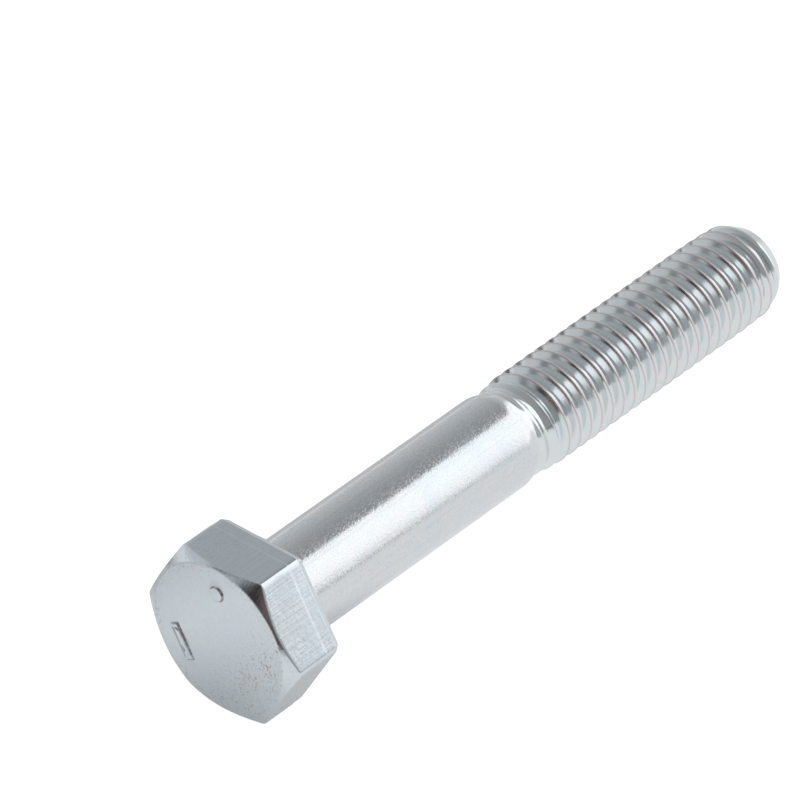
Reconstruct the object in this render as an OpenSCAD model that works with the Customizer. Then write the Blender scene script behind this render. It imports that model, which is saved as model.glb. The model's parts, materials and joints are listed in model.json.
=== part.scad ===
// Hex bolt, metric, partly threaded, cold forged from one length of steel wire.
// Head, shank and rolled thread are one continuous piece of metal.
// Frame: origin at the centre of the bearing face, +X towards the thread end,
// +Z square to the head's upper flat.

/* [Thread] */
// Major diameter of the rolled thread, over the crests
thread_d = 7.9; // [7.76:0.01:7.97]
// Thread pitch
pitch = 1.25; // [1:0.05:1.5]
// Thread depth, from crest to root
thread_depth = 0.7; // [0.6:0.01:0.76]
// Pitches over which the rolled thread rises out of the blank
run_in_turns = 2; // [1:0.1:3]
// Diameter of the flat end face
end_face_d = 6; // [5:0.1:6.4]
// Slope of the end chamfer, measured from the axis
end_chamfer_angle = 30; // [25:1:50]
// How much lower the crests run at the thread end
end_taper = 0.15; // [0:0.01:0.2]
// Length over which the crests run lower
end_taper_length = 4.4; // [2:0.1:6]
// Sides of one thread turn
thread_sides = 30; // [24:2:36]

/* [Shank] */
// Length from the bearing face to the thread end
bolt_length = 55; // [45:5:80]
// Diameter of the plain shank
shank_d = 7.78; // [7.78:0.01:8]
// Length from the bearing face to the end of the plain shank
shank_length = 25.2; // [20:0.2:30]
// Radius of the fillet under the head
head_fillet = 0.5; // [0.4:0.05:0.6]
// Diameter of the blank that the thread is rolled on
neck_d = 7.24; // [7.1:0.02:7.4]
// Length of the cone between the shank and the blank
neck_cone = 0.9; // [0.5:0.1:1.5]

/* [Head] */
// Width across the flats
across_flats = 12.88; // [12.73:0.01:13]
// Width across the rounded corners
across_corners = 14.75; // [14.4:0.05:15]
// Height of the head
head_height = 5.3; // [5.15:0.05:5.45]
// Diameter of the flat circle on top of the head
top_circle_d = 12.4; // [12:0.1:12.8]
// Slope of the chamfer round the top of the head
top_chamfer_angle = 30; // [15:1:30]
// Diameter of the round bearing pad
pad_d = 11.9; // [11.7:0.1:12.4]
// Thickness of the round bearing pad
pad_height = 0.2; // [0.15:0.05:0.6]
// Length along the axis of the chamfer on the hexagon's bearing side
rear_chamfer_length = 0.55; // [0.2:0.05:0.8]
// Depth of that chamfer into each flat
rear_chamfer_depth = 0.35; // [0.1:0.05:0.4]

/* [Class mark] */
// Height of the raised mark above the top of the head
mark_height = 0.15; // [0.1:0.05:0.3]
// Distance from the centre of the head to the middle of the dot and the bar
mark_radius = 4.1; // [3.5:0.1:4.6]
// Diameter of the reference dot
dot_d = 1.2; // [0.8:0.1:1.4]
// Length of the class bar
bar_length = 3; // [1.5:0.1:3]
// Width of the class bar
bar_width = 0.8; // [0.5:0.1:0.9]
// Clockwise turn of the bar from the dot at the top, looking at the head
bar_turn = 240; // [60:30:300]

/* [Hidden] */
steel = [0.80, 0.84, 0.87];
eps = 0.01;
slab_span = 2 * across_flats;

corner_r = across_corners / 2;
top_circle_r = top_circle_d / 2;

// Thread form: a 60 degree V cut off flat at the crest and the root
crest_r = thread_d / 2;
root_r = crest_r - thread_depth;
crest_width = pitch / 8;
flank_run = thread_depth * tan(30);
form_offset = [0, crest_width, crest_width + flank_run, pitch - flank_run];
form_radius = [crest_r, crest_r, root_r, root_r];
form_points = len(form_offset);

// Where the thread solid starts inside the blank, and where its crests begin to rise
blank_r = neck_d / 2 - 0.02;
thread_start = shank_length + neck_cone;
blank_cover = 0.1;
rise_start = thread_start + blank_cover;
rise_length = run_in_turns * pitch;

row_count = form_points * (ceil((bolt_length - thread_start) / pitch) + 3);
column_rows = row_count + 1;

// Axial place of one row of thread points on one side of the helix
function row_z(side, row) =
    thread_start + (floor(row / form_points) - 1.4) * pitch
    + form_offset[row % form_points] + pitch * side / thread_sides;

function clamp(value, low, high) = max(low, min(high, value));

// First row beyond the start face, less one; and first row at or past the end face
function low_row(side) =
    max([for (row = [0 : row_count]) if (row_z(side, row) <= thread_start + eps) row]);
function high_row(side) =
    min([for (row = [0 : row_count]) if (row_z(side, row) >= bolt_length - eps) row]);

function rise(z) = clamp((z - rise_start) / rise_length, 0, 1);
function end_cone_r(z) = end_face_d / 2 + (bolt_length - z) * tan(end_chamfer_angle);
function taper_r(z) = crest_r + end_taper * ((bolt_length - z) / end_taper_length - 1);
function surface_r(z, form_r) =
    min(blank_r + rise(z) * (form_r - blank_r), taper_r(z), end_cone_r(z));

function thread_point(side, row) =
    let (z = row <= low_row(side) ? thread_start
             : row >= high_row(side) ? bolt_length : row_z(side, row),
         r = surface_r(z, form_radius[row % form_points]),
         turn = 360 * side / thread_sides)
    [r * cos(turn), r * sin(turn), z];

// Index of a thread point: the last side joins the first one a whole pitch further on
function wrapped(side, row) =
    side < thread_sides
        ? side * column_rows + clamp(row, low_row(side), high_row(side))
        : clamp(row + form_points, low_row(0), high_row(0));

function distinct(face) = face[0] != face[1] && face[1] != face[2] && face[2] != face[0];

// One flat-sided slab of the head, with its bearing-side edges chamfered
module head_slab() {
    half = across_flats / 2;
    rotate([90, 0, 0])
        linear_extrude(height = slab_span, center = true)
            polygon([
                [-half, -head_height],
                [half, -head_height],
                [half, -pad_height - rear_chamfer_length],
                [half - rear_chamfer_depth, -pad_height],
                [rear_chamfer_depth - half, -pad_height],
                [-half, -pad_height - rear_chamfer_length]
            ]);
}

// Round envelope that cuts the top chamfer and the corners of the hexagon
module head_envelope() {
    rotate_extrude($fn = 96)
        polygon([
            [0, -head_height],
            [top_circle_r, -head_height],
            [corner_r, -head_height + (corner_r - top_circle_r) * tan(top_chamfer_angle)],
            [corner_r, 0],
            [0, 0]
        ]);
}

module head() {
    intersection() {
        head_slab();
        rotate(60) head_slab();
        rotate(120) head_slab();
        head_envelope();
    }
    translate([0, 0, -pad_height - eps])
        cylinder(d = pad_d, h = pad_height + eps, $fn = 96);
}

// Raised dot and bar that give the strength class without any lettering
module class_mark() {
    translate([0, 0, -head_height - mark_height])
        rotate(180) {
            translate([mark_radius, 0, 0])
                cylinder(d = dot_d, h = mark_height + eps, $fn = 48);
            rotate(bar_turn)
                translate([mark_radius - bar_width / 2, -bar_length / 2, 0])
                    cube([bar_width, bar_length, mark_height + eps]);
        }
}

// Concave fillet between the bearing face and the shank
module under_head_fillet() {
    rotate_extrude($fn = 96)
        difference() {
            translate([shank_d / 2 - eps, -eps])
                square(head_fillet + eps);
            translate([shank_d / 2 + head_fillet, head_fillet])
                circle(r = head_fillet, $fn = 48);
        }
}

module shank() {
    cylinder(d = shank_d, h = shank_length, $fn = 96);
    translate([0, 0, shank_length])
        cylinder(d1 = shank_d, d2 = neck_d, h = neck_cone, $fn = 96);
    translate([0, 0, thread_start])
        cylinder(d = neck_d, h = blank_cover, $fn = 96);
}

// Right-hand rolled thread: one closed surface whose rows follow the helix
module rolled_thread() {
    points = [
        for (side = [0 : thread_sides - 1], row = [0 : row_count])
            thread_point(side, row)
    ];
    flanks = [
        for (side = [0 : thread_sides - 1], row = [0 : row_count - 1])
            let (a = wrapped(side, row), b = wrapped(side + 1, row),
                 c = wrapped(side + 1, row + 1), d = wrapped(side, row + 1))
            each [[a, c, b], [a, d, c]]
    ];
    start_face = [for (side = [0 : thread_sides - 1]) wrapped(side, 0)];
    end_face = [for (side = [thread_sides - 1 : -1 : 0]) wrapped(side, row_count)];
    polyhedron(
        points = points,
        faces = concat([for (face = flanks) if (distinct(face)) face], [start_face, end_face]),
        convexity = 10
    );
}

module hex_bolt() {
    color(steel)
        rotate([0, 90, 0])
            union() {
                head();
                class_mark();
                under_head_fillet();
                shank();
                rolled_thread();
            }
}

hex_bolt();
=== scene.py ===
# Looks of the hex bolt: one closed mesh for the forged head, the drawn shank and the rolled
# thread, in bright zinc plate, lying on a lit white table under one big soft light.
# Lengths are in millimetres, and MM turns them into metres; x runs along the bolt from the head.
import json
import math
from functools import reduce

import bmesh
import bpy
import numpy as np
from mathutils import Matrix, Vector
from mathutils.geometry import delaunay_2d_cdt


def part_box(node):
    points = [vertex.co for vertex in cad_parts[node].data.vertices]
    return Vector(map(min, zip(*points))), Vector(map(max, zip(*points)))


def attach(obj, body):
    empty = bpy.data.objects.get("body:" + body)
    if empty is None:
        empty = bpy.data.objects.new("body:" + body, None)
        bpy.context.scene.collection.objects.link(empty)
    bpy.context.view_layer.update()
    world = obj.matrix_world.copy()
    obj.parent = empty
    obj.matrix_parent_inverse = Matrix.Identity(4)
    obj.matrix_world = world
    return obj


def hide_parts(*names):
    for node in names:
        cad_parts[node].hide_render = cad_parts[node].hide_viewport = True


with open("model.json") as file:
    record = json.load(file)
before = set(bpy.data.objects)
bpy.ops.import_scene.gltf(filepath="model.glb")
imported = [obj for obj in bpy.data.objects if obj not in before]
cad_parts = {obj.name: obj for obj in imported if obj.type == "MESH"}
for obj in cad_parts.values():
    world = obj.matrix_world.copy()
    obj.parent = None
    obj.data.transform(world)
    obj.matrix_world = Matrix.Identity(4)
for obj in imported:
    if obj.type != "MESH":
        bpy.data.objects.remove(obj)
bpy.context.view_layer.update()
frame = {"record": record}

MM = 0.001
mounts = {mount["name"]: mount for mount in frame["record"]["mounts"]}
low, high = (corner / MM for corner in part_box("hex_bolt"))
shank_mount = mounts["shank"]

# Sizes taken from the frame. The mount stops a little before the end of the shank.
SHANK_MARGIN = 0.1
BOLT_LENGTH = high.x
FLAT_R = high.z
HEAD_TOP = mounts["hex_drive"]["pos_m"][0] / MM
SHANK_R = shank_mount["dims"]["r_mm"]
SHANK_END = shank_mount["pos_m"][0] / MM + shank_mount["dims"]["length_mm"] / 2 + SHANK_MARGIN
MARK_HEIGHT = HEAD_TOP - low.x

# Head
CORNER_ROUNDING = 0.42
TOP_CIRCLE_R = 6.2
TOP_SLOPE = math.tan(math.radians(30))
CAP_R = 5.5
PAD_R = 5.95
PAD_HEIGHT = 0.2
REAR_CHAMFER_LENGTH = 0.55
REAR_CHAMFER_DEPTH = 0.35
PART_LINE_X = -1.75
PART_LINE_DEPTH = 0.035
FILLET_R = 0.5

# Thread
PITCH = 1.25
CREST_R = 3.95
THREAD_DEPTH = 0.7
CREST_WIDTH = 0.09
CREST_ROUNDING = 0.035
ROOT_ROUNDING = 0.24
BLANK_R = 3.62
NECK_START = SHANK_END + 0.9
RISE_START = NECK_START + 0.1
RISE_LENGTH = 2.5
CREST_START = 26.0
END_FACE_R = 3.0
END_SLOPE = math.tan(math.radians(30))
END_TAPER = 0.15
END_TAPER_LENGTH = 4.4
THREAD_END = BOLT_LENGTH - 0.5
LAST_GROOVE_LENGTH = 1.1
CHAMFER_BLEND = 0.12
END_RIM_ROUNDING = 0.45
HOLLOW_R = 1.2
HOLLOW_DEPTH = 0.06

# Table, light and camera, as directions and places in the bolt's frame
TABLE_HALF = 2500
LIGHT_FAR_EDGE = (0.488, -0.742, -0.458)
LIGHT_LOW_EDGE = (0.750, 0.583, 0.313)
HOLLOW_MIDDLE = (-0.995, -0.05, 0.06)
CAMERA_AHEAD = (0.5962, 0.5310, -0.6022)
CAMERA_RIGHT = (0.6589, -0.7521, -0.0108)
# Centre of the bearing face from the camera: right, down and ahead
BEARING_FACE_SEEN = (-9.549, 14.703, 577.47)

COLUMNS_PER_FLAT = 24
COLUMNS = 6 * COLUMNS_PER_FLAT


# ---------------------------------------------------------------- shape helpers

def column_turns():
    """Angles of the mesh's columns round the axis, closer together at the head's six corners."""
    step = np.arange(COLUMNS_PER_FLAT) / COLUMNS_PER_FLAT
    side = 2 * step - 1
    within = 30 + 30 * np.sign(side) * (1 - (1 - np.abs(side)) ** 1.6)
    return np.radians(np.concatenate([within + 60 * flat for flat in range(6)]))


def hexagon_r(turns, flat_r):
    """Distance from the axis to a hexagon with rounded corners, for each column."""
    off = np.abs(np.mod(turns, math.pi / 3) - math.pi / 6)
    centre = (flat_r - CORNER_ROUNDING) / math.cos(math.pi / 6)
    to_corner = math.pi / 6 - off
    on_flat = flat_r * np.tan(off) <= (flat_r - CORNER_ROUNDING) * math.tan(math.pi / 6)
    inside = np.maximum(CORNER_ROUNDING ** 2 - (centre * np.sin(to_corner)) ** 2, 0)
    on_corner = centre * np.cos(to_corner) + np.sqrt(inside)
    return np.where(on_flat, flat_r / np.cos(off), on_corner)


def with_guard_rows(rows, long=0.3, inset=0.05):
    """Adds a row near each end of every long straight, so that its shading stays flat."""
    guarded = [rows[0]]
    for row, following in zip(rows, rows[1:]):
        if np.linalg.norm(following - row, axis=-1).min() > long:
            guarded.append(row + (following - row) * inset)
            guarded.append(row + (following - row) * (1 - inset))
        guarded.append(following)
    return guarded


def rounded_rows(points, radii, steps=5):
    """Turns a polyline, given as (x, r) arrays over the columns, into rows with arcs at its bends."""
    points = [np.stack(np.broadcast_arrays(x, r), axis=-1).astype(float) for x, r in points]
    rows = [points[0]]
    for before, bend, after, radius in zip(points, points[1:], points[2:], radii):
        back, ahead = before - bend, after - bend
        back_length = np.linalg.norm(back, axis=-1, keepdims=True)
        ahead_length = np.linalg.norm(ahead, axis=-1, keepdims=True)
        back, ahead = back / back_length, ahead / ahead_length
        half = np.arccos(np.clip((back * ahead).sum(-1, keepdims=True), -1, 1)) / 2
        cut = np.minimum(radius / np.tan(half), 0.48 * np.minimum(back_length, ahead_length))
        middle = back + ahead
        middle /= np.linalg.norm(middle, axis=-1, keepdims=True)
        centre = bend + middle * cut / np.cos(half)
        start, end = bend + back * cut - centre, bend + ahead * cut - centre
        sweep = math.pi - 2 * half
        for step in range(steps + 1):
            share = step / steps
            rows.append(centre + (np.sin((1 - share) * sweep) * start
                                  + np.sin(share * sweep) * end) / np.sin(sweep))
    rows.append(points[-1])
    return with_guard_rows(rows)


def soft_min(a, b, blend):
    """The smaller of two values, with the crease between them rounded over about blend."""
    share = np.clip(0.5 + 0.5 * (b - a) / blend, 0, 1)
    return b * (1 - share) + a * share - blend * share * (1 - share)


# ---------------------------------------------------------------- bolt mesh

turns = column_turns()
verts = []
faces = []


def add_row(x, r):
    """Adds one vertex per column at axial place x and radius r, and returns their numbers."""
    x, r = np.broadcast_to(x, turns.shape), np.broadcast_to(r, turns.shape)
    first = len(verts)
    verts.extend(zip(x, r * np.cos(turns), r * np.sin(turns)))
    return np.arange(first, first + COLUMNS)


def join_rows(row, following):
    for column in range(COLUMNS):
        ahead = (column + 1) % COLUMNS
        faces.append((row[column], row[ahead], following[ahead], following[column]))


def head_and_shank_rows():
    """Rows from the flat top of the head, over its edge and flats, to the end of the neck."""
    full = hexagon_r(turns, FLAT_R)
    band = hexagon_r(turns, FLAT_R - PART_LINE_DEPTH)
    rear = hexagon_r(turns, FLAT_R - REAR_CHAMFER_DEPTH)
    under = -PAD_HEIGHT
    outline = [
        (HEAD_TOP, CAP_R),
        (HEAD_TOP, TOP_CIRCLE_R),
        (HEAD_TOP + (full - TOP_CIRCLE_R) * TOP_SLOPE, full),
        (PART_LINE_X, full),
        (PART_LINE_X + 0.05, band),
        (under - REAR_CHAMFER_LENGTH, band),
        (under, rear),
        (under, PAD_R + 0.04),
        (0, PAD_R),
        (0, SHANK_R),
        (SHANK_END, SHANK_R),
        (NECK_START, BLANK_R),
        (RISE_START, BLANK_R),
    ]
    # Rounding of each bend, from the rim of the top to the foot of the neck
    roundings = [0.3, 0.1, 0.05, 0.05, 0.12, 0.12, 0.08, 0.1, FILLET_R, 2.5, 0.3]
    rows = rounded_rows(outline, roundings)
    return [add_row(row[..., 0], row[..., 1]) for row in rows]


def thread_form():
    """One pitch of the rolled thread as (offset, radius) pairs, from crest to root and back."""
    root_r = CREST_R - THREAD_DEPTH
    flank = THREAD_DEPTH * math.tan(math.radians(30))
    half_crest, half_root = CREST_WIDTH / 2, (PITCH - CREST_WIDTH) / 2 - flank
    middle = PITCH / 2
    outline = [
        (0, CREST_R),
        (half_crest, CREST_R),
        (middle - half_root, root_r),
        (middle + half_root, root_r),
        (PITCH - half_crest, CREST_R),
        (PITCH, CREST_R),
    ]
    roundings = [CREST_ROUNDING, ROOT_ROUNDING, ROOT_ROUNDING, CREST_ROUNDING]
    rows = rounded_rows([(np.array([x]), np.array([r])) for x, r in outline], roundings, steps=4)
    return [tuple(row[0]) for row in rows[:-1]]


def thread_surface_r(x, form_r):
    """Radius of the thread at x: it rises out of the blank and ends in the chamfer.

    The last groove gets shallower and is gone where the thread ends.
    """
    rise = min(max((x - RISE_START) / RISE_LENGTH, 0), 1)
    taper = CREST_R + END_TAPER * ((BOLT_LENGTH - x) / END_TAPER_LENGTH - 1)
    cone = END_FACE_R + (BOLT_LENGTH - x) * END_SLOPE
    depth = min(max((THREAD_END - x) / LAST_GROOVE_LENGTH, 0), 1)
    form_r = taper + depth * (min(form_r, taper) - taper)
    return soft_min(min(BLANK_R + rise * (form_r - BLANK_R), taper), cone, CHAMFER_BLEND)


def add_thread(start_row, end_row):
    """Joins two rings with the helix: its rows climb one pitch per turn and meet themselves."""
    form = thread_form()
    per_turn = len(form)
    pitches = math.ceil((THREAD_END - CREST_START) / PITCH) + 2
    row_total = per_turn * pitches
    numbers = np.empty((row_total + per_turn + 1, COLUMNS + 1), int)
    climb = np.append(turns, 2 * math.pi) * PITCH / (2 * math.pi)
    for row in range(row_total + 1):
        offset, form_r = form[row % per_turn]
        place = CREST_START + (row // per_turn - 1) * PITCH + offset
        for column in range(COLUMNS):
            x = place + climb[column]
            if x <= RISE_START + 1e-4:
                numbers[row, column] = start_row[column]
            elif x >= THREAD_END - 1e-4:
                numbers[row, column] = end_row[column]
            else:
                r = float(thread_surface_r(x, form_r))
                numbers[row, column] = len(verts)
                verts.append((x, r * math.cos(turns[column]), r * math.sin(turns[column])))
    numbers[row_total + 1:, :COLUMNS] = end_row
    numbers[:row_total + 1, COLUMNS] = numbers[per_turn:row_total + per_turn + 1, 0]
    for row in range(row_total):
        for column in range(COLUMNS):
            corners = [numbers[row, column], numbers[row, column + 1],
                       numbers[row + 1, column + 1], numbers[row + 1, column]]
            face = [c for n, c in enumerate(corners) if c != corners[n - 1]]
            if len(face) > 2:
                faces.append(tuple(face))


def thread_end_rows():
    """Rows from the end of the thread, over the chamfer's rim, to the slightly hollow end face."""
    cone_r = END_FACE_R + (BOLT_LENGTH - THREAD_END) * END_SLOPE
    outline = [(THREAD_END, cone_r), (BOLT_LENGTH, END_FACE_R),
               (BOLT_LENGTH - HOLLOW_DEPTH * 2 / 3, HOLLOW_R)]
    rows = rounded_rows(outline, [END_RIM_ROUNDING])
    return [add_row(row[..., 0], row[..., 1]) for row in rows]


def close_end(row):
    verts.append((BOLT_LENGTH - HOLLOW_DEPTH, 0, 0))
    for column in range(COLUMNS):
        faces.append((row[column], row[(column + 1) % COLUMNS], len(verts) - 1))


# ---------------------------------------------------------------- class mark on the cap

MARK_RADIUS = 4.1
DOT_R = 0.6
BAR_LENGTH = 3.0
BAR_WIDTH = 0.8
BAR_ROUNDING = 0.2
BAR_TURN = math.radians(240)
# Distance outside the mark's outline and share of its height, from its foot to its top
MARK_EDGE = [(0.09, 0), (0.04, 0.10), (0.0, 0.5), (-0.04, 0.90), (-0.09, 1)]
CAP_SPACING = 0.4
CAP_CLEARANCE = 0.3


def dot_outline(out, count=28):
    """The reference dot, grown by out, on the head's upward radius."""
    around = np.arange(count) * 2 * math.pi / count
    r = DOT_R + out
    return np.stack([r * np.cos(around), MARK_RADIUS + r * np.sin(around)], axis=-1)


def bar_outline(out, corner_steps=4):
    """The class bar, grown by out: a rounded rectangle turned round the head from the dot."""
    corner_r = BAR_ROUNDING + out
    half = np.array([BAR_LENGTH / 2 - BAR_ROUNDING, BAR_WIDTH / 2 - BAR_ROUNDING])
    points = []
    for quarter, sign in enumerate([(1, 1), (-1, 1), (-1, -1), (1, -1)]):
        for step in range(corner_steps + 1):
            around = (quarter + step / corner_steps) * math.pi / 2
            points.append(half * sign + corner_r * np.array([math.cos(around), math.sin(around)]))
    points = np.array(points) + [0, MARK_RADIUS]
    cos, sin = math.cos(BAR_TURN), math.sin(BAR_TURN)
    return points @ np.array([[cos, sin], [-sin, cos]])


def add_cap(ring):
    """Fills the flat top of the head with a fine mesh that holds the raised mark."""
    points = [(verts[n][1], verts[n][2]) for n in ring]
    heights = [0.0] * len(points)
    edges = [(n, (n + 1) % COLUMNS) for n in range(COLUMNS)]
    for outline in (dot_outline, bar_outline):
        for out, share in MARK_EDGE:
            loop = outline(out)
            first = len(points)
            points.extend(map(tuple, loop))
            heights.extend([share * MARK_HEIGHT] * len(loop))
            edges.extend((first + n, first + (n + 1) % len(loop)) for n in range(len(loop)))
    marked = np.array(points[COLUMNS:])
    reach = int(CAP_R / CAP_SPACING)
    for i in range(-reach, reach + 1):
        for j in range(-reach, reach + 1):
            spot = np.array([i + 0.5 * (j % 2), j]) * CAP_SPACING
            clear = np.linalg.norm(marked - spot, axis=1).min() > CAP_CLEARANCE
            if np.linalg.norm(spot) < CAP_R - CAP_CLEARANCE and clear:
                points.append(tuple(spot))
                heights.append(0.0)
    flat, _, triangles, sources, _, _ = delaunay_2d_cdt(
        [Vector(p) for p in points], edges, [], 0, 1e-5)
    numbers = []
    for place, source in zip(flat, sources):
        if source and source[0] < COLUMNS:
            numbers.append(ring[source[0]])
            continue
        numbers.append(len(verts))
        verts.append((HEAD_TOP - heights[source[0]], place.x, place.y))
    faces.extend(tuple(numbers[n] for n in triangle) for triangle in triangles)


def build_bolt():
    head_rows = head_and_shank_rows()
    end_rows = thread_end_rows()
    add_cap(head_rows[0])
    for rows in (head_rows, end_rows):
        for row, following in zip(rows, rows[1:]):
            join_rows(row, following)
    add_thread(head_rows[-1], end_rows[0])
    close_end(end_rows[-1])
    mesh = bpy.data.meshes.new("zinc_hex_bolt")
    mesh.from_pydata([Vector(v) * MM for v in verts], [], [tuple(map(int, f)) for f in faces])
    build = bmesh.new()
    build.from_mesh(mesh)
    bmesh.ops.recalc_face_normals(build, faces=build.faces)
    for face in build.faces:
        face.smooth = True
    build.to_mesh(mesh)
    build.free()
    bolt = bpy.data.objects.new("zinc_hex_bolt", mesh)
    bpy.context.scene.collection.objects.link(bolt)
    normals = bolt.modifiers.new("even_normals", "WEIGHTED_NORMAL")
    normals.weight = 60
    return bolt


# ---------------------------------------------------------------- node helpers

class Shader:
    """A node tree with short calls for the nodes used here."""

    def __init__(self, tree):
        self.tree = tree
        tree.nodes.clear()

    def node(self, kind, inputs=None, **settings):
        made = self.tree.nodes.new(kind)
        for name, value in settings.items():
            setattr(made, name, value)
        for name, value in (inputs or {}).items():
            self.set(made.inputs[name], value)
        return made

    def set(self, socket, value):
        if isinstance(value, bpy.types.NodeSocket):
            self.tree.links.new(value, socket)
        else:
            socket.default_value = value

    def math(self, operation, *values):
        made = self.tree.nodes.new("ShaderNodeMath")
        made.operation = operation
        for socket, value in zip(made.inputs, values):
            self.set(socket, value)
        return made.outputs[0]

    def times(self, *values):
        return reduce(lambda a, b: self.math("MULTIPLY", a, b), values)

    def plus(self, *values):
        return reduce(lambda a, b: self.math("ADD", a, b), values)

    def minus(self, a, b):
        return self.math("SUBTRACT", a, b)

    def length(self, a, b):
        return self.math("SQRT", self.plus(self.times(a, a), self.times(b, b)))

    def vector(self, operation, a, b, output="Vector"):
        made = self.node("ShaderNodeVectorMath", {0: a, 1: b}, operation=operation)
        return made.outputs[output]

    def coordinates(self, name):
        """The named texture coordinates, whole and as x, y and z."""
        place = self.node("ShaderNodeTexCoord").outputs[name]
        axes = self.node("ShaderNodeSeparateXYZ", {"Vector": place})
        return place, *(axes.outputs[axis] for axis in "XYZ")

    def camera_ray(self):
        return self.node("ShaderNodeLightPath").outputs["Is Camera Ray"]

    def ramp(self, value, start, end, low_value=0.0, high_value=1.0):
        made = self.node("ShaderNodeMapRange", {
            "Value": value, "From Min": start, "From Max": end,
            "To Min": low_value, "To Max": high_value}, interpolation_type="SMOOTHSTEP")
        return made.outputs["Result"]

    def mix(self, share, a, b):
        made = self.node("ShaderNodeMix", data_type="RGBA")
        self.set(made.inputs["Factor"], share)
        self.set(made.inputs[6], a)
        self.set(made.inputs[7], b)
        return made.outputs[2]

    def tinted(self, value, red, green, blue):
        """A colour: the value times a tint."""
        made = self.node("ShaderNodeCombineColor", {
            "Red": self.times(value, red), "Green": self.times(value, green),
            "Blue": self.times(value, blue)})
        return made.outputs["Color"]

    def noise(self, vector, scale, detail=2.0, roughness=0.5):
        made = self.node("ShaderNodeTexNoise", {
            "Vector": vector, "Scale": scale, "Detail": detail, "Roughness": roughness})
        return made.outputs["Fac"]


# ---------------------------------------------------------------- zinc plate

COOL_ZINC = (0.735, 0.780, 0.820, 1)
PALE_ZINC = (0.770, 0.785, 0.800, 1)
TEAL = (0.690, 0.785, 0.795, 1)
ROSE = (0.815, 0.775, 0.770, 1)
STRAW = (0.775, 0.790, 0.745, 1)
DRAWN_LINE = (0.62, 0.68, 0.74, 1)
STAIN = (0.68, 0.72, 0.755, 1)
DULL_SHANK = (0.60, 0.61, 0.66, 1)
BRIGHT_THREAD = (0.88, 0.93, 0.94, 1)
DULL_CREST = (0.72, 0.67, 0.675, 1)
BLUE_HEAD = (0.68, 0.79, 0.86, 1)
BROWN = (0.38, 0.29, 0.25, 1)
# Painted shade for the foot of the raised dot and bar
MARK_SHADE = (0.27, 0.24, 0.23, 1)
BUMP_HEIGHT = 0.0022


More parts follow.
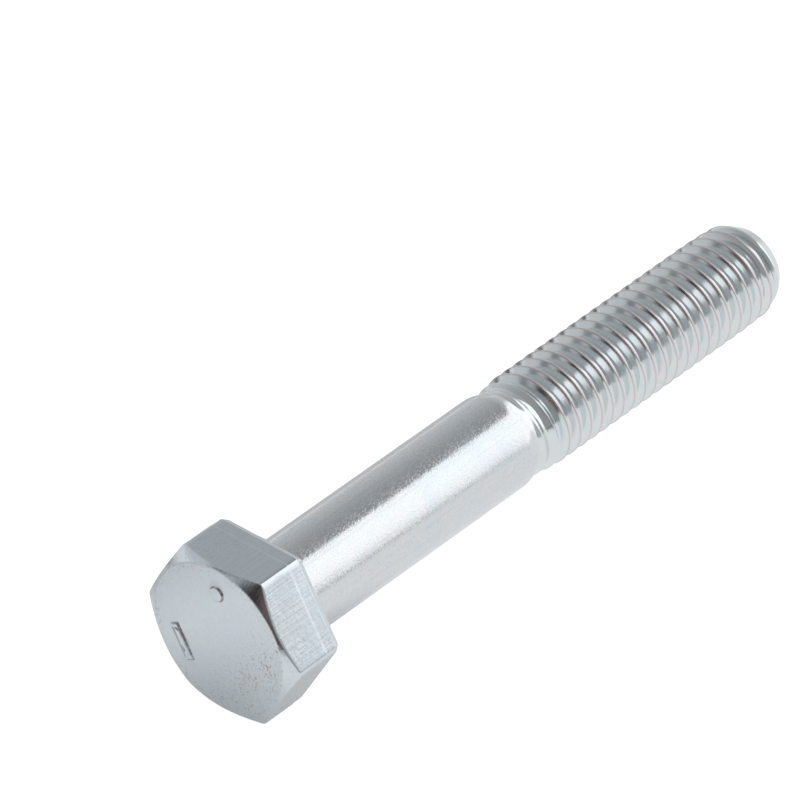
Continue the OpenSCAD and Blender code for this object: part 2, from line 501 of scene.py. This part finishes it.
class ZincPlate(Shader):
    """Bright zinc plate: blank drawn steel on the shank, smooth rolled thread, struck head."""

    def __init__(self, tree):
        super().__init__(tree)
        self.place, self.x, self.y, self.z = self.coordinates("Object")
        self.radius = self.length(self.y, self.z)

        # Areas of the bolt: each is one there and zero elsewhere
        self.head = self.ramp(self.x, 0.3 * MM, 0.0)
        self.top = self.ramp(self.x, (HEAD_TOP + 0.06) * MM, (HEAD_TOP + 0.02) * MM)
        self.thread = self.ramp(self.x, (NECK_START - 0.6) * MM, (NECK_START + 0.4) * MM)
        self.shank = self.minus(1.0, self.plus(self.head, self.thread))
        self.crest = self.crest_mask()

        # Marks that more than one of the bump, the colour and the roughness use
        self.pits = self.noise(self.moved(0.05, 0.21, 0.4), 2600)
        self.drawn = self.noise(self.stretched(60, 5200), 1)
        self.blotch = self.noise(self.place, 420, 3.0)
        self.spark = self.noise(self.moved(0.4, 0.5, 0.3), 6200, 2.0, 0.6)
        self.worn = self.worn_mask()

    def moved(self, *by):
        return self.vector("ADD", self.place, by)

    def stretched(self, along, around):
        return self.vector("MULTIPLY", self.place, (along, around, around))

    def crest_mask(self):
        """One on the crests, which run lower at the thread end."""
        end_r = self.math("MULTIPLY_ADD", self.x, -END_TAPER / END_TAPER_LENGTH / MM,
                          CREST_R - END_TAPER + END_TAPER * BOLT_LENGTH / END_TAPER_LENGTH)
        crest_r = self.times(self.math("MINIMUM", end_r, CREST_R), MM)
        below = self.minus(crest_r, self.radius)
        return self.times(self.ramp(below, 0.09 * MM, 0.04 * MM), self.thread)

    def worn_mask(self):
        """Specks where the plate is worn: round the rim of the head's top and in one corner."""
        speck = self.noise(self.moved(0.7, 0.2, 0.9), 5200, 3.0, 0.7)
        area = self.noise(self.moved(0.2, 0.6, 0.1), 330)
        corner = self.ramp(self.plus(self.y, self.times(self.z, 0.6)), 0.0, -6.5 * MM)
        rim = self.ramp(self.radius, 5.2 * MM, 6.5 * MM, 0.0, 0.8)
        on_top = self.math("MAXIMUM", self.top, self.times(rim, 0.3))
        return self.times(self.math("MAXIMUM", corner, rim), on_top, self.head,
                          self.ramp(speck, 0.53, 0.66), self.ramp(area, 0.35, 0.6, 0.3, 1.0))

    def mark_edge_mask(self):
        """One along the foot of the raised dot and bar, where the colour gets painted shade."""
        up = self.minus(self.z, MARK_RADIUS * MM)
        dot = self.minus(self.length(self.y, up), DOT_R * MM)
        cos, sin = math.cos(BAR_TURN), math.sin(BAR_TURN)
        length = self.plus(self.times(self.y, cos), self.times(self.z, sin))
        width = self.minus(self.times(self.z, cos), self.times(self.y, sin))
        width = self.math("ABSOLUTE", self.minus(width, MARK_RADIUS * MM))
        bar = self.math("MAXIMUM",
                        self.minus(self.math("ABSOLUTE", length), BAR_LENGTH / 2 * MM),
                        self.minus(width, BAR_WIDTH / 2 * MM))
        edge = self.math("ABSOLUTE", self.math("MINIMUM", dot, bar))
        return self.ramp(edge, 0.11 * MM, 0.02 * MM)

    def bump(self):
        """Grain and pits everywhere, bright sparks on the shank, tool marks on the head."""
        grain = self.noise(self.place, 5600, 1.5)
        struck = self.noise(self.stretched(9000, 420), 1)
        height = self.plus(
            self.times(grain, self.ramp(self.shank, 0.0, 1.0, 0.6, 2.0)),
            self.times(self.ramp(self.drawn, 0.3, 0.7), self.ramp(self.head, 0.0, 1.0, 0.25, 0.9)),
            self.times(self.ramp(self.spark, 0.53, 0.64), self.shank, 1.7),
            self.times(self.ramp(struck, 0.3, 0.7), self.head, 0.1),
            self.times(self.pits, 1.2))
        made = self.node("ShaderNodeBump", {
            "Strength": 1.0, "Distance": BUMP_HEIGHT * MM, "Height": height})
        return made.outputs["Normal"]

    def passivate(self):
        """Clear passivate over zinc: pale blue, drifting to teal, rose and straw."""
        wide = self.noise(self.place, 260)
        patch = self.noise(self.place, 1100, 3.0)
        other = self.noise(self.moved(0.31, 0.12, 0.07), 900, 3.0)
        color = self.mix(self.ramp(wide, 0.35, 0.65), COOL_ZINC, PALE_ZINC)
        for tint, area, on_shank, on_thread in [
                (TEAL, self.ramp(patch, 0.45, 0.62), 0.3, 0.9),
                (ROSE, self.ramp(other, 0.54, 0.68), 0.35, 0.75),
                (STRAW, self.ramp(other, 0.46, 0.34), 0.1, 0.6)]:
            share = self.ramp(self.thread, 0.0, 1.0, on_shank, on_thread)
            color = self.mix(self.times(area, share), color, tint)
        return color

    def color(self):
        """The passivate under lines, stains, dull crests, brown wear and painted shade along the foot
        of the mark.
        """
        lined = self.times(self.ramp(self.drawn, 0.40, 0.62), self.ramp(self.blotch, 0.42, 0.60))
        stained = self.times(self.ramp(self.pits, 0.42, 0.66), self.ramp(self.blotch, 0.60, 0.42))
        sides = self.times(self.head, self.minus(1.0, self.top))
        dulled = self.plus(self.ramp(self.spark, 0.50, 0.36, 0.0, 0.35),
                           self.ramp(self.drawn, 0.55, 0.75, 0.0, 0.3))
        # Painted shade: darker colour along the foot of the raised dot and bar on the top, broken up
        # by the pits
        mark_shade = self.times(self.mark_edge_mask(), self.top, 0.75, self.ramp(self.pits, 0.36, 0.56))
        color = self.passivate()
        for share, over in [
                (self.times(lined, sides, 0.5), DRAWN_LINE),
                (self.times(stained, self.head, 0.6), STAIN),
                (self.times(self.shank, dulled), DULL_SHANK),
                (self.times(self.thread, 0.3), BRIGHT_THREAD),
                (self.crest, DULL_CREST),
                (self.times(self.head, 0.35), BLUE_HEAD),
                (self.worn, BROWN),
                (mark_shade, MARK_SHADE)]:
            color = self.mix(share, color, over)
        return color

    def roughness(self):
        return self.plus(
            self.ramp(self.blotch, 0.3, 0.7, 0.11, 0.19), self.times(self.top, 0.10),
            self.times(self.thread, 0.01), self.times(self.crest, 0.2),
            self.times(self.worn, 0.25))


def zinc_material():
    material = bpy.data.materials.new("bright_zinc_plate")
    material.use_nodes = True
    plate = ZincPlate(material.node_tree)
    shader = plate.node("ShaderNodeBsdfPrincipled", {
        "Base Color": plate.color(), "Metallic": 1.0, "Roughness": plate.roughness(),
        "Normal": plate.bump()})
    plate.node("ShaderNodeOutputMaterial", {"Surface": shader.outputs["BSDF"]})
    return material


# ---------------------------------------------------------------- studio

def table_material(head_foot):
    """White and lit from within, with dimmer areas that only the bolt reflects."""
    material = bpy.data.materials.new("lit_white_table")
    material.use_nodes = True
    s = Shader(material.node_tree)
    place, x, y, _ = s.coordinates("Object")
    seen = s.camera_ray()
    from_head = s.vector("DISTANCE", place, head_foot, "Value")
    # Painted shadow: the table's glow dims round the foot of the head
    shade = s.ramp(from_head, 16 * MM, 3 * MM, 0.0, 0.28)
    # Painted shadow: the glow dims behind the bolt from 7 to 20 mm and rises again from 45 to 90 mm
    lit = s.plus(s.ramp(y, 7 * MM, 20 * MM, 0.58, 0.30), s.ramp(y, 45 * MM, 90 * MM, 0.0, 0.25))
    glow = s.math("MAXIMUM", s.minus(lit, shade), s.times(seen, 0.9))

    # Painted reflection: dark patches seen only in the bolt, beyond the head and beside the shank
    # where a second bolt would lie
    before = s.times(s.ramp(x, -20 * MM, -38 * MM), s.ramp(y, 25 * MM, 5 * MM))
    beside = s.times(s.ramp(x, 28 * MM, 18 * MM), s.ramp(x, -25 * MM, -10 * MM),
                     s.ramp(y, 34 * MM, 48 * MM))
    painted_dark = s.times(s.math("MAXIMUM", before, beside), s.minus(1.0, seen))
    shader = s.node("ShaderNodeBsdfPrincipled", {
        "Base Color": s.mix(painted_dark, (0.5, 0.5, 0.5, 1), (0.08, 0.06, 0.055, 1)),
        "Roughness": 0.9, "Specular IOR Level": 0.0, "Emission Color": (1.0, 1.0, 1.0, 1),
        "Emission Strength": s.times(glow, s.ramp(painted_dark, 0.0, 1.0, 1.0, 0.1))})
    s.node("ShaderNodeOutputMaterial", {"Surface": shader.outputs["BSDF"]})
    return material


def build_table():
    """A white table that touches the head's lower flat and the crests at the thread end."""
    rear_edge = -PAD_HEIGHT - REAR_CHAMFER_LENGTH
    last_crest = BOLT_LENGTH - (CREST_R - END_FACE_R) / END_SLOPE
    slope = math.atan2(FLAT_R - CREST_R, last_crest - rear_edge)
    head_foot = Vector((rear_edge, 0, -FLAT_R)) * MM
    build = bmesh.new()
    bmesh.ops.create_grid(build, x_segments=1, y_segments=1, size=TABLE_HALF * MM)
    tilt = Matrix.Rotation(-slope, 4, "Y")
    bmesh.ops.transform(build, matrix=Matrix.Translation(head_foot) @ tilt, verts=build.verts)
    mesh = bpy.data.meshes.new("table")
    build.to_mesh(mesh)
    build.free()
    mesh.materials.append(table_material(head_foot))
    table = bpy.data.objects.new("table", mesh)
    bpy.context.scene.collection.objects.link(table)


def room_color(s, direction, x, y, z):
    """The walls and ceiling, with one big square light.

    Two of the light's edges are planes through the bolt, and it fades a little towards
    the lower one. The room gets darker from behind the bolt to overhead, apart from a
    lighter band.
    """
    far_side = s.vector("DOT_PRODUCT", direction, LIGHT_FAR_EDGE, "Value")
    low_side = s.vector("DOT_PRODUCT", direction, LIGHT_LOW_EDGE, "Value")
    inside = s.times(s.ramp(far_side, -0.02, 0.03), s.ramp(low_side, -0.04, 0.03))
    light = s.tinted(s.ramp(low_side, -0.02, 0.26, 0.90, 1.0), 1.26, 1.27, 1.27)
    over = s.math("ARCTAN2", s.times(y, -1.0), z)
    overhead = s.times(s.ramp(x, 0.54, 0.36, 0.0, 0.13), s.ramp(x, 0.0, 0.2))
    dim = s.plus(s.ramp(over, math.radians(-92), math.radians(-5), 0.60, 0.34),
                 s.ramp(over, math.radians(20), math.radians(60), 0.0, -0.02), overhead)
    return s.mix(inside, s.tinted(dim, 0.98, 1.0, 1.02), light)


def build_world():
    """The room round the bolt. The camera sees plain white, and the bolt reflects the rest."""
    world = bpy.data.worlds.new("studio")
    bpy.context.scene.world = world
    world.use_nodes = True
    s = Shader(world.node_tree)
    direction, x, y, z = s.coordinates("Generated")
    color = room_color(s, direction, x, y, z)

    # Beyond the head: a dusky ring above the white ground, and a hollow with a copper side
    dusk = s.times(s.ramp(x, -0.76, -0.81), s.ramp(x, -0.90, -0.85), 0.75)
    color = s.mix(dusk, color, (0.12, 0.13, 0.15, 1))
    color = s.mix(s.ramp(z, -0.02, -0.05), color, (0.8, 0.8, 0.8, 1))
    copper = s.mix(s.ramp(y, 0.04, -0.12), (0.030, 0.027, 0.030, 1), (0.17, 0.11, 0.098, 1))
    hollow = s.vector("DOT_PRODUCT", direction, HOLLOW_MIDDLE, "Value")
    color = s.mix(s.ramp(hollow, 0.915, 0.97), color, copper)
    color = s.mix(s.camera_ray(), color, (1.0, 1.0, 1.0, 1))
    background = s.node("ShaderNodeBackground", {"Color": color, "Strength": 1.0})
    s.node("ShaderNodeOutputWorld", {"Surface": background.outputs["Background"]})


def build_camera():
    """A long lens looking down on the bolt from beyond its head, with the thread going away."""
    camera = bpy.data.cameras.new("camera")
    camera.sensor_width = 36
    camera.lens = 360
    camera.clip_start = 0.01
    camera.clip_end = 20
    holder = bpy.data.objects.new("camera", camera)
    bpy.context.scene.collection.objects.link(holder)
    ahead = Vector(CAMERA_AHEAD).normalized()
    right = Vector(CAMERA_RIGHT)
    right = (right - ahead * right.dot(ahead)).normalized()
    up = right.cross(ahead)
    turn = Matrix((right, up, -ahead)).transposed()
    seen = Vector(BEARING_FACE_SEEN)
    place = -(right * seen.x - up * seen.y + ahead * seen.z) * MM
    holder.matrix_world = Matrix.Translation(place) @ turn.to_4x4()
    bpy.context.scene.camera = holder


scene = bpy.context.scene
scene.view_settings.view_transform = "Standard"
scene.view_settings.look = "None"

bolt = build_bolt()
bolt.data.materials.append(zinc_material())
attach(bolt, "root")
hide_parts("hex_bolt")
build_table()
build_world()
build_camera()
